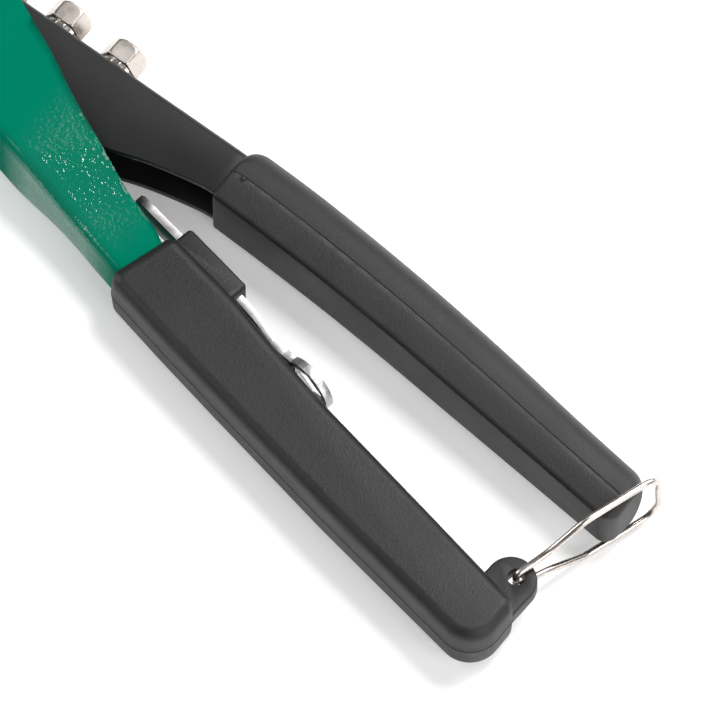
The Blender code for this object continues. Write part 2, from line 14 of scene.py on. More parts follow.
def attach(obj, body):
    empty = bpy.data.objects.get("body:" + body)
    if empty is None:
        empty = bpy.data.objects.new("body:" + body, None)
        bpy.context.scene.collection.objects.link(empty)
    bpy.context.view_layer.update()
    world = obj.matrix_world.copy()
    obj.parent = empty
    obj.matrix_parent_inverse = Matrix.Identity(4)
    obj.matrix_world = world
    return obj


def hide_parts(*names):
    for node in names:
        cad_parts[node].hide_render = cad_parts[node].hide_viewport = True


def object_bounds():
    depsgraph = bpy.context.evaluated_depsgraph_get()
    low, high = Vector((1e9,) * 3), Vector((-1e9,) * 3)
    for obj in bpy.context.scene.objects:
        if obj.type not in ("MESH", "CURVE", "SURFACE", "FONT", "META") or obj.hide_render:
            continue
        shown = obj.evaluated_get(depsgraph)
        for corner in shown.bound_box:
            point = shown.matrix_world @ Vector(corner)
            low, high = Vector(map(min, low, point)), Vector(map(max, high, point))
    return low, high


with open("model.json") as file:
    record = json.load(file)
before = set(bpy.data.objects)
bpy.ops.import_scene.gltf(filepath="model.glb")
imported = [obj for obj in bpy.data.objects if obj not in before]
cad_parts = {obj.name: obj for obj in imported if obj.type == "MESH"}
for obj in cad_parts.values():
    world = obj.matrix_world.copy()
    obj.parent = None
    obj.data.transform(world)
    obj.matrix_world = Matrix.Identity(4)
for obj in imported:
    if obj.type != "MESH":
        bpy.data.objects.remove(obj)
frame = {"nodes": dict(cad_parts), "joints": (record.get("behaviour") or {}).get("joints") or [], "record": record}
CAD_BOX = [list(corner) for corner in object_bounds()]

MM = 0.001
GAP = 0.3
PULL_ARM = 16.0
PIVOT = (PULL_ARM * math.cos(math.radians(13.5)), -14.5)
JOINTS = {joint["name"]: joint for joint in frame["joints"]}
AXIS = Vector(JOINTS["lever_pivot"]["pos_m"])
HEAD = AXIS - Vector((PIVOT[0], PIVOT[1], 0)) * MM        # the nose axis on the arm's web, mid-plane

# camera: the photograph's viewing angle
CAMERA_AIM = (157.5, -25.0, 0.0)
CAMERA_AZIMUTH = math.radians(37.5)
CAMERA_ELEVATION = math.radians(65.0)
FIELD_WIDTH = 176.9
LENS = 700.0

# fixed arm
ARM_HALF = 8.25
ARM_SHEET = 2.0
ARM_FOLD = 2.5
TANG_HALF = 7.0
ARM_STATIONS = [(-11, 0, -19, ARM_HALF), (-8, 0, -23.5, ARM_HALF), (-2, 0, -26.5, ARM_HALF),
                (8, 0, -27.3, ARM_HALF), (30, 0, -27.3, ARM_HALF), (45, 0, -26, ARM_HALF),
                (60, 0, -23.9, ARM_HALF), (73, 0, -20.8, ARM_HALF), (85, 0, -17, ARM_HALF),
                (95, 0, -14.7, ARM_HALF), (100, 0, -13.8, ARM_HALF), (102.5, 0, -13.6, ARM_HALF),
                (112, -0.4, -12.8, TANG_HALF), (140, -1.8, -13.8, TANG_HALF), (170, -4.2, -16, TANG_HALF),
                (204, -8.4, -19, TANG_HALF)]

# fixed grip
GRIP_FRONT = 103.7
GRIP_END = 235.0
GRIP_OUTER = [(103.7, 4.4), (123, 3.8), (144, 2.3), (162, 0.6), (187, -2.5), (210, -5.9), (235, -9.2)]
GRIP_LIP = (227.1, 0.45)      # the outer side stands proud past the wire's notch
NOTCH = (221.6, 226.8, 0.5)
GRIP_INNER = [(103.7, -15.1), (120, -15.7), (140, -16.8), (160, -18.4), (180, -20.4), (200, -22.4), (235, -26)]
SEAM_PLACE = 0.44             # share of the way from the inner to the outer side
SEAM_HALF = 0.09
SEAM_DEPTH = 0.10
GRIP_HALF = [(103.7, 10.3), (140, 10.1), (180, 9.6), (215, 8.9), (235, 8.6)]

# lever
LEVER_SHEET = 2.2
LEVER_FOLD = 3.0
CHEEK_HALF = 11.0
LEVER_TANG_HALF = 7.5
JOGGLE_START = 57.0           # where the cheeks start to step in, at the web
JOGGLE_SLANT = 0.75
JOGGLE_LENGTH = 24.0
LEVER_STATIONS = [(34, -2.0, -30.6), (39, -4.3, -31.6), (49, -8.9, -34), (59, -14.2, -36.5), (66, -17.6, -38),
                  (70, -19.4, -38.8), (74, -21.2, -39.7), (79, -23.4, -40.9), (84, -25.5, -42.1),
                  (88, -27, -43.2), (92, -28.2, -44.2), (96, -29.4, -45.2), (100, -31.3, -46.2),
                  (104, -33.4, -47.2), (130, -38, -52.5), (160, -45, -58), (204, -54, -66.5)]
HEAD_OUTLINE = [(39, -4.3, 0), (29, 0.3, 7), (14, 0.6, 9), (-8, -9.5, 8), (-8, -24.5, 7), (6, -28.6, 6),
                (34, -30.6, 0), (38.2, -28.6, 0)]
LEVER_GRIP_OUTLINE = [(101.9, -28.3, 3.6), (125, -32.8, 60), (140, -37.0, 60), (160, -42.0, 90), (180, -46.0, 0),
                      (200, -50.0, 0), (218, -53.7, 0), (230, -56.2, 4.2), (230, -74.6, 8.5), (216, -72.1, 90),
                      (196, -68.6, 90), (176, -65.1, 90), (156, -61.1, 90), (136, -57.1, 90), (116, -52.9, 90),
                      (95.6, -48.3, 4.2)]

# spanner, ear and wire
SPANNER_LINE = [(88, -24.2), (126, -31.4), (139, -35.2), (146, -36.3), (159, -39.0)]
SPANNER_THICK = 2.2
SHANK_HALF = 4.0
RING_R = 7.3
RING_CENTRE = 65.2
RING_FLATS = 10.2
SLEEVE_X = (103.8, 124.6)
SLEEVE_HALF = 6.8
SLEEVE_WALL = 1.5
EAR_CENTRE = (223.7, -50.4)
EAR_R = 6.4
EAR_HALF = 2.4
BAIL_PIVOT = (223.9, -49.0)
EAR_HOLE_R = 2.2
WIRE_R = 0.9
BAIL_TOP_Y = -6.9
BAIL_HALF = 10.4
BAIL_REST = math.radians(18.5)    # swung just off the fixed grip's end

# nosepieces
SPARE_X = (26.2, 43.6, 61.0)
SPARE_BORES = (1.25, 1.65, 2.05)
NOSE_BORE = 2.45
SLEEVE_TOP = 14.0
HEX_FLATS = 10.0


# ---- mesh helpers ----------------------------------------------------------------------------

def hermite(table):
    """Smooth function through a table's points, with slopes limited so that it doesn't overshoot."""
    xs = [p[0] for p in table]
    ys = [p[1] for p in table]
    steps = [(ys[i + 1] - ys[i]) / (xs[i + 1] - xs[i]) for i in range(len(xs) - 1)]
    slopes = [steps[0]]
    for a, b in zip(steps, steps[1:]):
        slopes.append(0.0 if a * b < 0 else (a + b) / 2)
    slopes.append(steps[-1])

    def value(x):
        if x <= xs[0]:
            return ys[0]
        if x >= xs[-1]:
            return ys[-1]
        i = max(k for k in range(len(xs) - 1) if xs[k] <= x)
        h = xs[i + 1] - xs[i]
        t = (x - xs[i]) / h
        return (ys[i] * (1 + 2 * t) * (1 - t) ** 2 + slopes[i] * h * t * (1 - t) ** 2
                + ys[i + 1] * t * t * (3 - 2 * t) + slopes[i + 1] * h * t * t * (t - 1))
    return value


def finish_mesh(name, bm, smooth_angle=40.0):
    """Make an object from a bmesh drawn in design millimetres."""
    bmesh.ops.recalc_face_normals(bm, faces=bm.faces)
    if bm.calc_volume(signed=True) < 0:
        bmesh.ops.reverse_faces(bm, faces=bm.faces)
    bm.transform(Matrix.Translation(HEAD) @ Matrix.Scale(MM, 4))
    mesh = bpy.data.meshes.new(name)
    bm.to_mesh(mesh)
    bm.free()
    mesh.shade_smooth()
    mesh.set_sharp_from_angle(angle=math.radians(smooth_angle))
    obj = bpy.data.objects.new(name, mesh)
    bpy.context.collection.objects.link(obj)
    return obj


def apply_modifiers(obj):
    graph = bpy.context.evaluated_depsgraph_get()
    mesh = bpy.data.meshes.new_from_object(obj.evaluated_get(graph))
    obj.modifiers.clear()
    obj.data = mesh


def combine(obj, bm, operation):
    tool = finish_mesh(obj.name + "_tool", bm)
    mod = obj.modifiers.new(operation, 'BOOLEAN')
    mod.operation = operation
    mod.solver = 'EXACT'
    mod.object = tool
    apply_modifiers(obj)
    bpy.data.objects.remove(tool, do_unlink=True)


def bevel(obj, width, segments=3, angle=35.0, smooth_angle=40.0):
    """Round the sharp edges of a piece and keep the flats flat."""
    mod = obj.modifiers.new("bevel", 'BEVEL')
    mod.width = width * MM
    mod.segments = segments
    mod.limit_method = 'ANGLE'
    mod.angle_limit = math.radians(angle)
    mod.harden_normals = True
    apply_modifiers(obj)
    obj.data.shade_smooth()
    obj.data.set_sharp_from_angle(angle=math.radians(smooth_angle))


def loft(loops):
    bm = bmesh.new()
    rings = [[bm.verts.new(p) for p in loop] for loop in loops]
    count = len(rings[0])
    for a, b in zip(rings, rings[1:]):
        for i in range(count):
            j = (i + 1) % count
            bm.faces.new((a[i], a[j], b[j], b[i]))
    bm.faces.new(rings[0])
    bm.faces.new(reversed(rings[-1]))
    return bm


def prism(outline, low, high):
    return loft([[(x, y, low) for x, y in outline], [(x, y, high) for x, y in outline]])


def rounded(points, steps=12):
    result = []
    count = len(points)
    for i, (x, y, radius) in enumerate(points):
        here = Vector((x, y))
        if radius == 0:
            result.append((x, y))
            continue
        back = (Vector(points[i - 1][:2]) - here).normalized()
        ahead = (Vector(points[(i + 1) % count][:2]) - here).normalized()
        half = back.angle(ahead) / 2
        if half > math.radians(89.9):
            result.append((x, y))
            continue
        reach = radius / math.tan(half)
        middle = here + (back + ahead).normalized() * (radius / math.sin(half))
        start = here + back * reach - middle
        turn = start.angle_signed(here + ahead * reach - middle)
        number = max(3, min(steps, int(abs(turn) * 16)))
        for k in range(number + 1):
            p = middle + Matrix.Rotation(-turn * k / number, 2) @ start
            result.append((p.x, p.y))
    return result


def inset(outline, distance):
    area = sum(a[0] * b[1] - b[0] * a[1] for a, b in zip(outline, outline[1:] + outline[:1]))
    side = 1 if area > 0 else -1
    result = []
    for i, (x, y) in enumerate(outline):
        before = Vector(outline[i - 1])
        after = Vector(outline[(i + 1) % len(outline)])
        here = Vector((x, y))
        n0 = Vector((-(here - before).y, (here - before).x)).normalized()
        n1 = Vector((-(after - here).y, (after - here).x)).normalized()
        mean = (n0 + n1).normalized()
        step = distance / max(0.5, mean.dot(n0))
        result.append((x + side * mean.x * step, y + side * mean.y * step))
    return result


def turned(profile, x, y, direction, segments=64):
    bm = bmesh.new()
    rings = []
    for k in range(segments):
        a = math.tau * k / segments
        ring = []
        for radius, height in profile:
            if direction == 'Y':
                ring.append(bm.verts.new((x + radius * math.cos(a), height, radius * math.sin(a))))
            else:
                ring.append(bm.verts.new((x + radius * math.cos(a), y + radius * math.sin(a), height)))
        rings.append(ring)
    size = len(profile)
    for a, b in zip(rings, rings[1:] + rings[:1]):
        for i in range(size):
            j = (i + 1) % size
            bm.faces.new((a[i], a[j], b[j], b[i]))
    return bm


def rod(radius, low, high, x, y, direction='Z', segments=48):
    bm = bmesh.new()
    bmesh.ops.create_cone(bm, cap_ends=True, segments=segments, radius1=radius, radius2=radius, depth=high - low)
    middle = (low + high) / 2
    if direction == 'Y':
        bm.transform(Matrix.Translation((x, middle, 0)) @ Matrix.Rotation(math.pi / 2, 4, 'X'))
    else:
        bm.transform(Matrix.Translation((x, y, middle)))
    return bm


def smooth_path(points, steps=8):
    """Catmull-Rom curve through the points."""
    pts = [Vector(p) for p in points]
    pts = [2 * pts[0] - pts[1]] + pts + [2 * pts[-1] - pts[-2]]
    result = []
    for i in range(1, len(pts) - 2):
        p0, p1, p2, p3 = pts[i - 1:i + 3]
        for k in range(steps):
            t = k / steps
            result.append(0.5 * (2 * p1 + (p2 - p0) * t + (2 * p0 - 5 * p1 + 4 * p2 - p3) * t * t
                                 + (3 * p1 - p0 - 3 * p2 + p3) * t ** 3))
    return result + [pts[-2]]


def sweep_wire(path, radius, sides=20):
    loops = []
    normal = None
    for i, p in enumerate(path):
        tangent = (path[min(i + 1, len(path) - 1)] - path[max(i - 1, 0)]).normalized()
        if normal is None:
            normal = tangent.orthogonal().normalized()
        normal = (normal - tangent * normal.dot(tangent)).normalized()
        other = tangent.cross(normal)
        size = radius - 0.35 if i in (0, len(path) - 1) else radius
        loops.append([p + size * (normal * math.cos(t) + other * math.sin(t))
                      for t in (math.tau * k / sides for k in range(sides))])
    return loft(loops)


def channel_loop(x, web_y, edge_y, half, sheet, fold, steps=8, rows=0):
    """Section of a folded channel at x, with rows of extra points on its cheeks."""
    side = 1 if edge_y < web_y else -1
    mids = [edge_y + (web_y - side * fold - edge_y) * k / (rows + 1) for k in range(1, rows + 1)]
    loop = [(x, edge_y, half)] + [(x, y, half) for y in mids]
    for radius, wall, order in ((fold, 0, 1), (fold - sheet, sheet, -1)):
        radius = max(radius, 0.3)
        angles = [math.pi / 2 * k / steps for k in range(steps + 1)]
        upper = [(x, web_y - side * (wall + radius * (1 - math.sin(a))), half - wall - radius * (1 - math.cos(a)))
                 for a in angles]
        lower = [(px, py, -pz) for px, py, pz in reversed(upper)]
        if order == 1:
            loop += upper + lower + [(x, y, -half) for y in reversed(mids)]
            loop += [(x, edge_y, -half), (x, edge_y, -half + sheet)] + [(x, y, -half + sheet) for y in mids]
        else:
            loop += list(reversed(lower)) + list(reversed(upper))
            loop += [(x, y, half - sheet) for y in reversed(mids)] + [(x, edge_y, half - sheet)]
    return loop


def core_loop(x, web_y, edge_y, half, fold, steps=8):
    """Filled envelope of a channel section, grown by the clearance."""
    side = 1 if edge_y < web_y else -1
    top = web_y + side * GAP
    low = edge_y - side * GAP
    wide = half + GAP
    loop = [(x, low, wide)]
    for k in range(steps + 1):
        a = math.pi / 2 * k / steps
        loop.append((x, top - side * fold * (1 - math.sin(a)), wide - fold * (1 - math.cos(a))))
    loop += [(px, py, -pz) for px, py, pz in reversed(loop)]
    return loop


def end_inset(distance, radius):
    if distance >= radius:
        return 0.0
    return radius - math.sqrt(max(0.0, radius ** 2 - (radius - distance) ** 2))


def spread(start, stop, step, radius_start=0.0, radius_stop=0.0):
    """Stations from start to stop, packed closely where the ends are rounded."""
    stations = [start + radius_start * (1 - math.cos(math.pi / 2 * k / 10)) for k in range(11)] if radius_start else []
    low = start + radius_start
    high = stop - radius_stop
    count = max(1, round((high - low) / step))
    stations += [low + (high - low) * k / count for k in range(count + 1)]
    if radius_stop:
        stations += [stop - radius_stop * (1 - math.sin(math.pi / 2 * k / 12)) for k in range(13)]
    result = []
    for x in stations:
        if not result or x - result[-1] > 1e-4:
            result.append(x)
    return result


# ---- materials -------------------------------------------------------------------------------

class Nodes:
    """Short way to wire a material's nodes."""

    def __init__(self, name):
        self.mat = bpy.data.materials.new(name)
        self.mat.use_nodes = True
        self.tree = self.mat.node_tree
        self.shader = self.tree.nodes["Principled BSDF"]
        self.place = self.add("ShaderNodeTexCoord").outputs["Object"]

    def add(self, kind, **inputs):
        node = self.tree.nodes.new(kind)
        for key, value in inputs.items():
            node.inputs[key.replace("_", " ")].default_value = value
        return node

    def link(self, output, socket):
        self.tree.links.new(output, socket)

    def set(self, key, value):
        self.shader.inputs[key].default_value = value

    def noise(self, scale, detail=3.0, roughness=0.55):
        node = self.add("ShaderNodeTexNoise", Scale=scale, Detail=detail, Roughness=roughness)
        self.link(self.place, node.inputs["Vector"])
        return node.outputs["Fac"]

    def ramp(self, source, low, high, colour_low, colour_high):
        node = self.add("ShaderNodeValToRGB")
        node.color_ramp.elements[0].position = low
        node.color_ramp.elements[0].color = (*colour_low, 1)
        node.color_ramp.elements[1].position = high
        node.color_ramp.elements[1].color = (*colour_high, 1)
        self.link(source, node.inputs["Fac"])
        return node.outputs["Color"]

    def span(self, source, low, high, out_low, out_high):
        node = self.add("ShaderNodeMapRange", From_Min=low, From_Max=high, To_Min=out_low, To_Max=out_high)
        self.link(source, node.inputs["Value"])
        return node.outputs["Result"]

    def bump(self, height, distance, strength=1.0, after=None):
        node = self.add("ShaderNodeBump", Distance=distance, Strength=strength)
        self.link(height, node.inputs["Height"])
        if after is not None:
            self.link(after, node.inputs["Normal"])
        return node.outputs["Normal"]


def grip_material():
    """Black moulded plastic: spark-eroded grain, faint rubbed patches."""
    m = Nodes("grip_plastic")
    grain = m.noise(1900, 3.0)
    patches = m.noise(55, 3.0)
    m.link(m.ramp(patches, 0.35, 0.7, (0.008, 0.008, 0.0084), (0.011, 0.011, 0.0114)), m.shader.inputs["Base Color"])
    m.link(m.span(patches, 0.3, 0.7, 0.44, 0.54), m.shader.inputs["Roughness"])
    rough = m.bump(m.noise(700, 2.0), 0.00004, 0.5)
    m.link(m.bump(grain, 0.00009, 0.9, rough), m.shader.inputs["Normal"])
    m.set("Specular IOR Level", 0.36)
    return m.mat


def black_paint_material():
    """Satin black powder coat over sheet steel."""
    m = Nodes("black_paint")
    soft = m.noise(40, 2.0)
    m.link(m.ramp(soft, 0.3, 0.7, (0.010, 0.010, 0.0105), (0.013, 0.013, 0.0135)), m.shader.inputs["Base Color"])
    m.link(m.span(soft, 0.3, 0.7, 0.36, 0.42), m.shader.inputs["Roughness"])
    m.link(m.bump(m.noise(900, 2.0), 0.00002, 0.35), m.shader.inputs["Normal"])
    m.set("Specular IOR Level", 0.3)
    return m.mat


def green_paint_material():
    """Gloss green paint, thick with orange peel over the stepped part of the cheeks."""
    m = Nodes("green_paint")
    soft = m.noise(30, 2.0)
    m.link(m.ramp(soft, 0.3, 0.7, (0.0, 0.128, 0.076), (0.0, 0.142, 0.086)), m.shader.inputs["Base Color"])
    m.link(m.span(soft, 0.3, 0.7, 0.3, 0.36), m.shader.inputs["Roughness"])
    split = m.add("ShaderNodeSeparateXYZ")
    m.link(m.place, split.inputs["Vector"])
    rise = m.span(split.outputs["X"], HEAD.x + 54 * MM, HEAD.x + 64 * MM, 0.0, 1.0)
    fall = m.span(split.outputs["X"], HEAD.x + 84 * MM, HEAD.x + 97 * MM, 1.0, 0.0)
    zone = m.add("ShaderNodeMath")
    zone.operation = 'MULTIPLY'
    m.link(rise, zone.inputs[0])
    m.link(fall, zone.inputs[1])
    m.link(m.span(zone.outputs[0], 0.0, 1.0, 0.06, 1.0), m.shader.inputs["Coat Weight"])
    peel = m.bump(m.noise(950, 2.0, 0.45), 0.00015, 1.0)
    m.link(m.span(zone.outputs[0], 0.0, 1.0, 0.1, 1.0), peel.node.inputs["Strength"])
    m.link(peel, m.shader.inputs["Coat Normal"])
    m.link(m.bump(m.noise(500, 2.0), 0.00003, 0.3), m.shader.inputs["Normal"])
    m.set("Specular IOR Level", 0.0)
    m.set("Coat Roughness", 0.08)
    return m.mat


def metal_material(name, dark, light, roughness, grain, scratch=0.3):
    """Plated or plain steel with faint mottling and fine marks."""
    m = Nodes(name)
    blotch = m.noise(180, 3.0)
    m.link(m.ramp(blotch, 0.3, 0.72, dark, light), m.shader.inputs["Base Color"])
    m.link(m.span(blotch, 0.3, 0.7, roughness * 0.8, roughness * 1.25), m.shader.inputs["Roughness"])
    m.link(m.bump(m.noise(grain, 3.0), 0.00003, scratch), m.shader.inputs["Normal"])
    m.set("Metallic", 1.0)
    return m.mat


def make_materials():
    return {
        "grip_plastic": grip_material(),
        "black_paint": black_paint_material(),
        "green_paint": green_paint_material(),
        "nickel_plate": metal_material("nickel_plate", (0.50, 0.45, 0.41), (0.64, 0.59, 0.55), 0.27, 700, 0.3),
        "zinc_plate": metal_material("zinc_plate", (0.48, 0.46, 0.47), (0.56, 0.54, 0.55), 0.4, 1600, 0.2),
        "hardened_steel": metal_material("hardened_steel", (0.20, 0.19, 0.18), (0.32, 0.31, 0.30), 0.36, 1500),
    }


MATERIALS = make_materials()


def place(obj, slot, body, *nodes):
    """Give a fine piece its finish, its body and the CAD node it stands for."""
    obj.data.materials.clear()
    obj.data.materials.append(MATERIALS[slot])
    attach(obj, body)
    if nodes:
        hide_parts(*nodes)


# ---- fixed arm -------------------------------------------------------------------------------

def arm_channel():
    web = hermite([(s[0], s[1]) for s in ARM_STATIONS])
    edge = hermite([(s[0], s[2]) for s in ARM_STATIONS])
    half = hermite([(s[0], s[3]) for s in ARM_STATIONS])
    stations = spread(ARM_STATIONS[0][0], 112, 1.5) + [140, 170, 204]
    loops = [channel_loop(x, web(x), edge(x), half(x), ARM_SHEET, ARM_FOLD) for x in stations]
    obj = finish_mesh("arm_channel_fine", loft(loops))
    combine(obj, rod(7.3, -3, 1, 0, 0, 'Y'), 'DIFFERENCE')
    for x in SPARE_X:
        combine(obj, rod(4.3, -3, 1, x, 0, 'Y'), 'DIFFERENCE')
    combine(obj, rod(3.3, -10, 10, *PIVOT), 'DIFFERENCE')
    stud_y = PIVOT[1] - PULL_ARM * math.sin(math.radians(13.5))
    slot = rounded([(-3.4, stud_y - 3.4, 3.3), (3.4, stud_y - 3.4, 3.3), (3.4, -7.2, 3.3), (-3.4, -7.2, 3.3)])
    combine(obj, prism(slot, -10, 10), 'DIFFERENCE')
    bevel(obj, 0.35)
    place(obj, "black_paint", "arm", "arm_channel")


def grip_section(x, outer, inner, half, crease, steps=20):
    """D section: flat inner side with tight corners, a shallow crown with a fine seam, round outer side."""
    centre = inner + 0.5 * (outer - inner)
    edge = half - 0.8
    loop = []
    for k in range(6):
        a = math.pi / 2 * k / 5
        loop.append((x, inner + crease * (1 - math.cos(a)), edge - crease * (1 - math.sin(a))))
    seam = inner + SEAM_PLACE * (outer - inner)
    first = inner + crease
    rows = [first + (seam - SEAM_HALF - first) * k / 5 for k in range(1, 6)] + [seam, seam + SEAM_HALF]
    rows += [seam + SEAM_HALF + (centre - seam - SEAM_HALF) * k / 3 for k in range(1, 3)]
    for y in rows:
        height = edge + (half - edge) * math.sin(math.pi / 2 * min(1.0, (y - first) / (centre - first)))
        loop.append((x, y, height - (SEAM_DEPTH if y == seam else 0.0)))
    for k in range(steps + 1):
        s = math.sin(math.pi / 2 * k / steps)
        loop.append((x, centre + (outer - centre) * s, half * (1 - s ** 2.5) ** 0.55 if k < steps else 0.0))
    loop += [(px, py, -pz) for px, py, pz in reversed(loop[:-1])]
    return loop


def arm_grip():
    outer = hermite(GRIP_OUTER)
    inner = hermite(GRIP_INNER)
    half = hermite(GRIP_HALF)
    loops = []
    for x in spread(GRIP_FRONT, GRIP_END, 1.6, 5.0, 6.0):
        front = x - GRIP_FRONT
        back = GRIP_END - x
        wall = outer(x) - end_inset(front, 4.0) * 0.8 - end_inset(back, 5.0)
        flat = inner(x) + end_inset(front, 0.8) + end_inset(back, 4.5)
        thick = half(x) - end_inset(front, 0.8) - end_inset(back, 2.6)
        loops.append(grip_section(x, wall, flat, thick, 1.3))
    obj = finish_mesh("arm_grip_fine", loft(loops))
    nub = bmesh.new()
    bmesh.ops.create_uvsphere(nub, u_segments=24, v_segments=14, radius=0.75)
    nub.transform(Matrix.Translation((107.6, -7.2, half(107.6) - 0.35)))
    combine(obj, nub, 'UNION')
    low_x, high_x, depth = NOTCH
    notch = [(low_x, 12), (low_x, outer(low_x) + 0.2), (low_x + 0.7, outer(224) - depth),
             (high_x - 0.7, outer(224) - depth), (high_x, outer(high_x) + 0.2), (high_x, 12)]
    combine(obj, prism(notch, -20, 20), 'DIFFERENCE')
    cores = [core_loop(102, 0, -13.7, ARM_HALF, ARM_FOLD)]
    cores += [core_loop(x, web, edge, wide, ARM_FOLD) for x, web, edge, wide in ARM_STATIONS[11:-1]]
    end_x, end_web, end_edge, end_half = ARM_STATIONS[-1]
    cores.append(core_loop(end_x + GAP, end_web, end_edge, end_half, ARM_FOLD))
    combine(obj, loft(cores), 'DIFFERENCE')
    bevel(obj, 0.25, 2, 50)
    place(obj, "grip_plastic", "arm", "arm_grip")


def hex_nose(name, x, seat, bore, body, node):
    """Nosepiece: shank, recessed neck, hexagon with a flat facing up, domed tip, drilled through."""
    shank = [(3.6, -5.5), (4.0, -5.0), (4.0, 0.35), (4.4, 0.35), (4.4, 2.0)]
    head = [(5.35, 2.0), (5.6, 2.12), (6.0, 2.3), (6.0, 3.6), (6.0, 4.8), (5.85, 5.6)]
    head += [(5.85 - 2.7 * (1 - math.cos(a)), 5.6 + 2.6 * math.sin(a))
             for a in (math.pi / 2 * k / 14 for k in range(1, 15))]
    loops = []
    for limit, height in shank + head:
        loop = []
        for k in range(96):
            a = math.tau * k / 96
            from_flat = (a + math.pi / 6) % (math.pi / 3) - math.pi / 6
            radius = min(limit, HEX_FLATS / 2 / math.cos(from_flat))
            loop.append((x + radius * math.sin(a), seat + height, radius * math.cos(a)))
        loops.append(loop)
    obj = finish_mesh(name, loft(loops), 28)
    combine(obj, rod(bore, seat - 7, seat + 10, x, 0, 'Y'), 'DIFFERENCE')
    bevel(obj, 0.15, 2, 40, 28)
    place(obj, "nickel_plate", body, node)


# ---- lever -----------------------------------------------------------------------------------

def cheek_step(x, rise):
    """How far the cheeks have stepped in at x, and at a height above the web: the step is slanted."""
    start = JOGGLE_START + JOGGLE_SLANT * rise
    t = min(1.0, max(0.0, (x - start) / JOGGLE_LENGTH))
    return (CHEEK_HALF - LEVER_TANG_HALF) * t * t * (3 - 2 * t)


def lever_channel():
    edge = hermite([(s[0], s[1]) for s in LEVER_STATIONS])
    web = hermite([(s[0], s[2]) for s in LEVER_STATIONS])
    stations = spread(LEVER_STATIONS[0][0], 104, 1.0) + [130, 160, 204]
    loops = [channel_loop(x, web(x), edge(x), CHEEK_HALF, LEVER_SHEET, LEVER_FOLD, rows=8) for x in stations]
    bm = loft(loops)
    for vert in bm.verts:
        x, y, z = vert.co
        if abs(z) > CHEEK_HALF - LEVER_FOLD - 0.1:
            vert.co.z = math.copysign(abs(z) - cheek_step(x, abs(y - web(x))), z)
    obj = finish_mesh("lever_channel_fine", bm)
    outline = rounded(HEAD_OUTLINE, 16)
    for low, high in ((CHEEK_HALF - LEVER_SHEET, CHEEK_HALF), (-CHEEK_HALF, LEVER_SHEET - CHEEK_HALF)):
        combine(obj, prism(outline, low, high), 'UNION')
    stud_y = PIVOT[1] - PULL_ARM * math.sin(math.radians(13.5))
    combine(obj, rod(3.3, -14, 14, *PIVOT), 'DIFFERENCE')
    combine(obj, rod(2.8, -14, 14, 0, stud_y), 'DIFFERENCE')
    bevel(obj, 0.45, 3, 50)
    place(obj, "green_paint", "lever", "lever_channel")


def sleeve_box(low_x, high_x, under, over, half, grow=0.0):
    a = Vector(SPANNER_LINE[0])
    along = (Vector(SPANNER_LINE[1]) - a).normalized()
    away = Vector((-along.y, along.x))
    corners = []
    for x, offset in ((low_x, under), (high_x, under), (high_x, over), (low_x, over)):
        p = a + along * ((x - a.x) / along.x) + away * offset
        corners.append((p.x, p.y))
    return prism(corners, -half, half)


def lever_grip():
    outline = rounded(LEVER_GRIP_OUTLINE, 14)
    outline = subdivide_outline(outline, 6.0)
    crown = [(0.0, 0.0), (0.24, 0.0), (0.3, 0.12), (3.2, 0.16), (5.2, 0.28)]
    arc = [(5.6 + 3.4 * math.sin(a), 0.3 + 3.1 * (1 - math.cos(a))) for a in (math.pi / 2 * k / 9 for k in range(1, 10))]
    levels = crown + arc
    levels = [(-h, d) for h, d in reversed(levels[1:])] + levels
    loops = [[(x, y, z) for x, y in inset(outline, d)] for z, d in levels]
    obj = finish_mesh("lever_grip_fine", loft(loops))
    outer = SPANNER_THICK / 2 + 0.35 + SLEEVE_WALL
    sleeve = finish_mesh("sleeve_block", sleeve_box(*SLEEVE_X, -5, outer, SLEEVE_HALF))
    bevel(sleeve, 1.1, 5)
    union_object(obj, sleeve)
    ear_outline = rounded([(216.5, -60, 0), (EAR_CENTRE[0] - EAR_R, -44, EAR_R - 0.1), (230.1, -44, EAR_R - 0.1),
                           (229.4, -60, 0)], 24)
    ear = finish_mesh("ear_block", prism(ear_outline, -EAR_HALF, EAR_HALF))
    bevel(ear, 0.6, 4)
    union_object(obj, ear)
    slot = SPANNER_THICK / 2 + 0.35
    combine(obj, sleeve_box(95, 135, -slot, slot, SHANK_HALF + 0.4), 'DIFFERENCE')
    combine(obj, rod(EAR_HOLE_R, -6, 6, *BAIL_PIVOT), 'DIFFERENCE')
    cores = [core_loop(94, -44.7, -28.9, LEVER_TANG_HALF, LEVER_FOLD)]
    cores += [core_loop(x, web, edge, LEVER_TANG_HALF, LEVER_FOLD) for x, edge, web in LEVER_STATIONS[11:-1]]
    end_x, end_edge, end_web = LEVER_STATIONS[-1]
    cores.append(core_loop(end_x + GAP, end_web, end_edge, LEVER_TANG_HALF, LEVER_FOLD))
    combine(obj, loft(cores), 'DIFFERENCE')
    bevel(obj, 0.22, 2, 50)
    place(obj, "grip_plastic", "lever", "lever_grip")


def subdivide_outline(outline, longest):
    result = []
    for a, b in zip(outline, outline[1:] + outline[:1]):
        count = max(1, math.ceil(math.dist(a, b) / longest))
        for k in range(count):
            result.append((a[0] + (b[0] - a[0]) * k / count, a[1] + (b[1] - a[1]) * k / count))
    return result


def union_object(obj, other):
    mod = obj.modifiers.new("union", 'BOOLEAN')
    mod.operation = 'UNION'
    mod.solver = 'EXACT'
    mod.object = other
    apply_modifiers(obj)
    bpy.data.objects.remove(other, do_unlink=True)


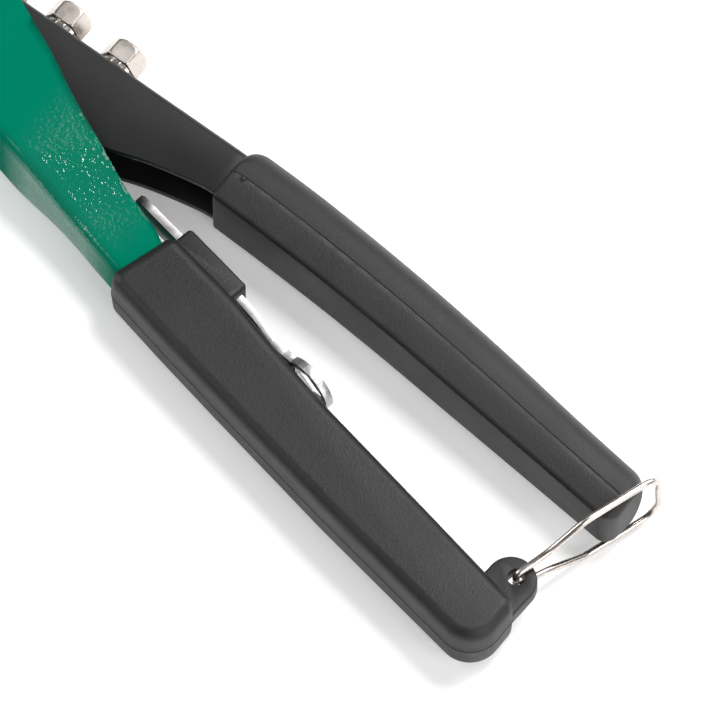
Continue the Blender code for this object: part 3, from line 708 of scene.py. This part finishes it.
def spanner():
    upper = [(0, 2.6), (1.2, SHANK_HALF), (40, SHANK_HALF), (48, 3.8), (52, 3.6), (56, 3.5)]
    start = math.pi - math.asin(3.7 / RING_R)
    upper += [(RING_CENTRE + RING_R * math.cos(a), RING_R * math.sin(a))
              for a in (start - start * k / 36 for k in range(37))]
    flat = upper + [(s, -w) for s, w in reversed(upper[:-1])]
    bm = prism(flat, -SPANNER_THICK / 2, SPANNER_THICK / 2)
    line = smooth_path([(x, y, 0) for x, y in SPANNER_LINE], 8)
    lengths = [0.0]
    for a, b in zip(line, line[1:]):
        lengths.append(lengths[-1] + (b - a).length)
    for s in lengths[1:-1]:
        geometry = bm.verts[:] + bm.edges[:] + bm.faces[:]
        bmesh.ops.bisect_plane(bm, geom=geometry, plane_co=(s, 0, 0), plane_no=(1, 0, 0))
    normals = []
    for i in range(len(line)):
        along = (line[min(i + 1, len(line) - 1)] - line[max(i - 1, 0)]).normalized()
        normals.append(Vector((-along.y, along.x, 0)))
    for vert in bm.verts:
        s, across, through = vert.co
        i = max(k for k in range(len(line) - 1) if s >= lengths[k] - 1e-5 or k == 0)
        t = (s - lengths[i]) / (lengths[i + 1] - lengths[i])
        middle = line[i].lerp(line[i + 1], t)
        away = normals[i].lerp(normals[i + 1], min(1.0, max(0.0, t)))
        p = middle + away * through
        vert.co = (p.x, p.y, across)
    obj = finish_mesh("spanner_fine", bm)
    along = (line[-1] - line[-2]).normalized()
    middle = line[-2] + along * (RING_CENTRE - lengths[-2])
    corner = RING_FLATS / math.sqrt(3)
    hexagon = bmesh.new()
    bmesh.ops.create_cone(hexagon, cap_ends=True, segments=6, radius1=corner, radius2=corner, depth=12)
    aim = Vector((-along.y, along.x, 0)).to_track_quat('Z', 'Y').to_matrix().to_4x4()
    hexagon.transform(Matrix.Translation((middle.x, middle.y, 0)) @ aim)
    combine(obj, hexagon, 'DIFFERENCE')
    bevel(obj, 0.3, 3, 50)
    place(obj, "zinc_plate", "spanner", "spanner")


def wire_bail():
    x, pivot_y = BAIL_PIVOT
    half = [(pivot_y, 0.5), (pivot_y, 2.0), (pivot_y + 0.35, 3.2), (pivot_y + 1.5, 3.9), (pivot_y + 6, 4.6),
            (pivot_y + 10, 5.6), (pivot_y + 14, 7.4), (pivot_y + 18, 9.3), (pivot_y + 21, BAIL_HALF - 0.1),
            (-24, BAIL_HALF), (-19, BAIL_HALF), (-14, BAIL_HALF - 0.05), (-10.2, BAIL_HALF - 0.4),
            (-8.0, BAIL_HALF - 2.0), (BAIL_TOP_Y, BAIL_HALF - 4.6), (BAIL_TOP_Y, 2.0)]
    path = []
    for y, z in half + [(y, -z) for y, z in reversed(half)]:
        reach = y - pivot_y
        path.append((x + reach * math.sin(BAIL_REST), pivot_y + reach * math.cos(BAIL_REST), z))
    obj = finish_mesh("wire_bail_fine", sweep_wire(smooth_path(path, 6), WIRE_R))
    place(obj, "nickel_plate", "bail", "wire_bail")


# ---- carried-over CAD nodes ------------------------------------------------------------------

def dress_cad_nodes():
    """Soften the small turned pieces' edges and give every kept node its finish."""
    slots = {part["node"]: part["material_slot"] for part in frame["record"]["subparts"]}
    for name, obj in frame["nodes"].items():
        obj.data.materials.clear()
        obj.data.materials.append(MATERIALS[slots[name]])
        if name in ("head_sleeve", "pivot_pin", "pull_stud_upper", "pull_stud_lower", "jaw_case", "case_cap",
                    "pivot_clip"):
            mod = obj.modifiers.new("edge", 'BEVEL')
            mod.width = 0.12 * MM
            mod.segments = 2
            mod.limit_method = 'ANGLE'
            mod.angle_limit = math.radians(40)


# ---- stage, light and camera -----------------------------------------------------------------

def stage():
    bm = bmesh.new()
    bmesh.ops.create_grid(bm, x_segments=1, y_segments=1, size=3.0)
    mesh = bpy.data.meshes.new("floor")
    bm.to_mesh(mesh)
    bm.free()
    floor = bpy.data.objects.new("floor", mesh)
    floor.location.z = CAD_BOX[0][2] - 0.0002
    bpy.context.collection.objects.link(floor)
    m = Nodes("floor")
    m.link(m.ramp(m.noise(3, 2.0), 0.3, 0.7, (0.90, 0.90, 0.90), (0.93, 0.93, 0.93)), m.shader.inputs["Base Color"])
    m.set("Roughness", 0.9)
    m.set("Specular IOR Level", 0.1)
    m.set("Emission Color", (1, 1, 1, 1))
    m.set("Emission Strength", 0.2)
    mesh.materials.append(m.mat)


def area_light(name, direction, distance, size, power, size_y=None):
    aim = HEAD + Vector(CAMERA_AIM) * MM
    data = bpy.data.lights.new(name, 'AREA')
    data.shape = 'RECTANGLE'
    data.size = size
    data.size_y = size_y or size
    data.energy = power
    obj = bpy.data.objects.new(name, data)
    way = Vector(direction).normalized()
    obj.location = aim + way * distance
    obj.rotation_mode = 'QUATERNION'
    obj.rotation_quaternion = way.to_track_quat('Z', 'Y')
    bpy.context.collection.objects.link(obj)
    return obj


def lights():
    world = bpy.context.scene.world or bpy.data.worlds.new("studio")
    bpy.context.scene.world = world
    world.use_nodes = True
    world.node_tree.nodes["Background"].inputs["Color"].default_value = (1, 1, 1, 1)
    world.node_tree.nodes["Background"].inputs["Strength"].default_value = 0.14
    area_light("top", (0.02, 0.62, 0.8), 1.3, 0.9, 5.5)
    area_light("key", (0.3, 1.0, 0.75), 1.4, 0.9, 14)
    area_light("right_fill", (1.0, -0.2, 0.6), 1.4, 0.9, 12)
    area_light("left_fill", (-1.0, -0.45, 0.7), 1.5, 0.9, 11)
    area_light("joggle_glint", (0.08, 0.32, 0.94), 1.2, 0.26, 7)


def camera():
    scene = bpy.context.scene
    scene.view_settings.view_transform = 'Standard'
    back = Vector((math.sin(CAMERA_AZIMUTH) * math.cos(CAMERA_ELEVATION),
                   -math.cos(CAMERA_AZIMUTH) * math.cos(CAMERA_ELEVATION), math.sin(CAMERA_ELEVATION)))
    data = bpy.data.cameras.new("camera")
    data.lens = LENS
    data.clip_start = 0.01
    data.clip_end = 20
    obj = bpy.data.objects.new("camera", data)
    distance = FIELD_WIDTH * MM * LENS / data.sensor_width
    obj.location = HEAD + Vector(CAMERA_AIM) * MM + back * distance
    obj.rotation_mode = 'QUATERNION'
    obj.rotation_quaternion = (-back).to_track_quat('-Z', 'Y')
    bpy.context.collection.objects.link(obj)
    scene.camera = obj


dress_cad_nodes()
arm_channel()
arm_grip()
hex_nose("nosepiece_fine", 0, SLEEVE_TOP, NOSE_BORE, "arm", "nosepiece")
for number, (spare_x, spare_bore) in enumerate(zip(SPARE_X, SPARE_BORES), 1):
    hex_nose(f"spare_nosepiece_{number}_fine", spare_x, 0, spare_bore, "arm", f"spare_nosepiece_{number}")
lever_channel()
lever_grip()
spanner()
wire_bail()
stage()
lights()
camera()
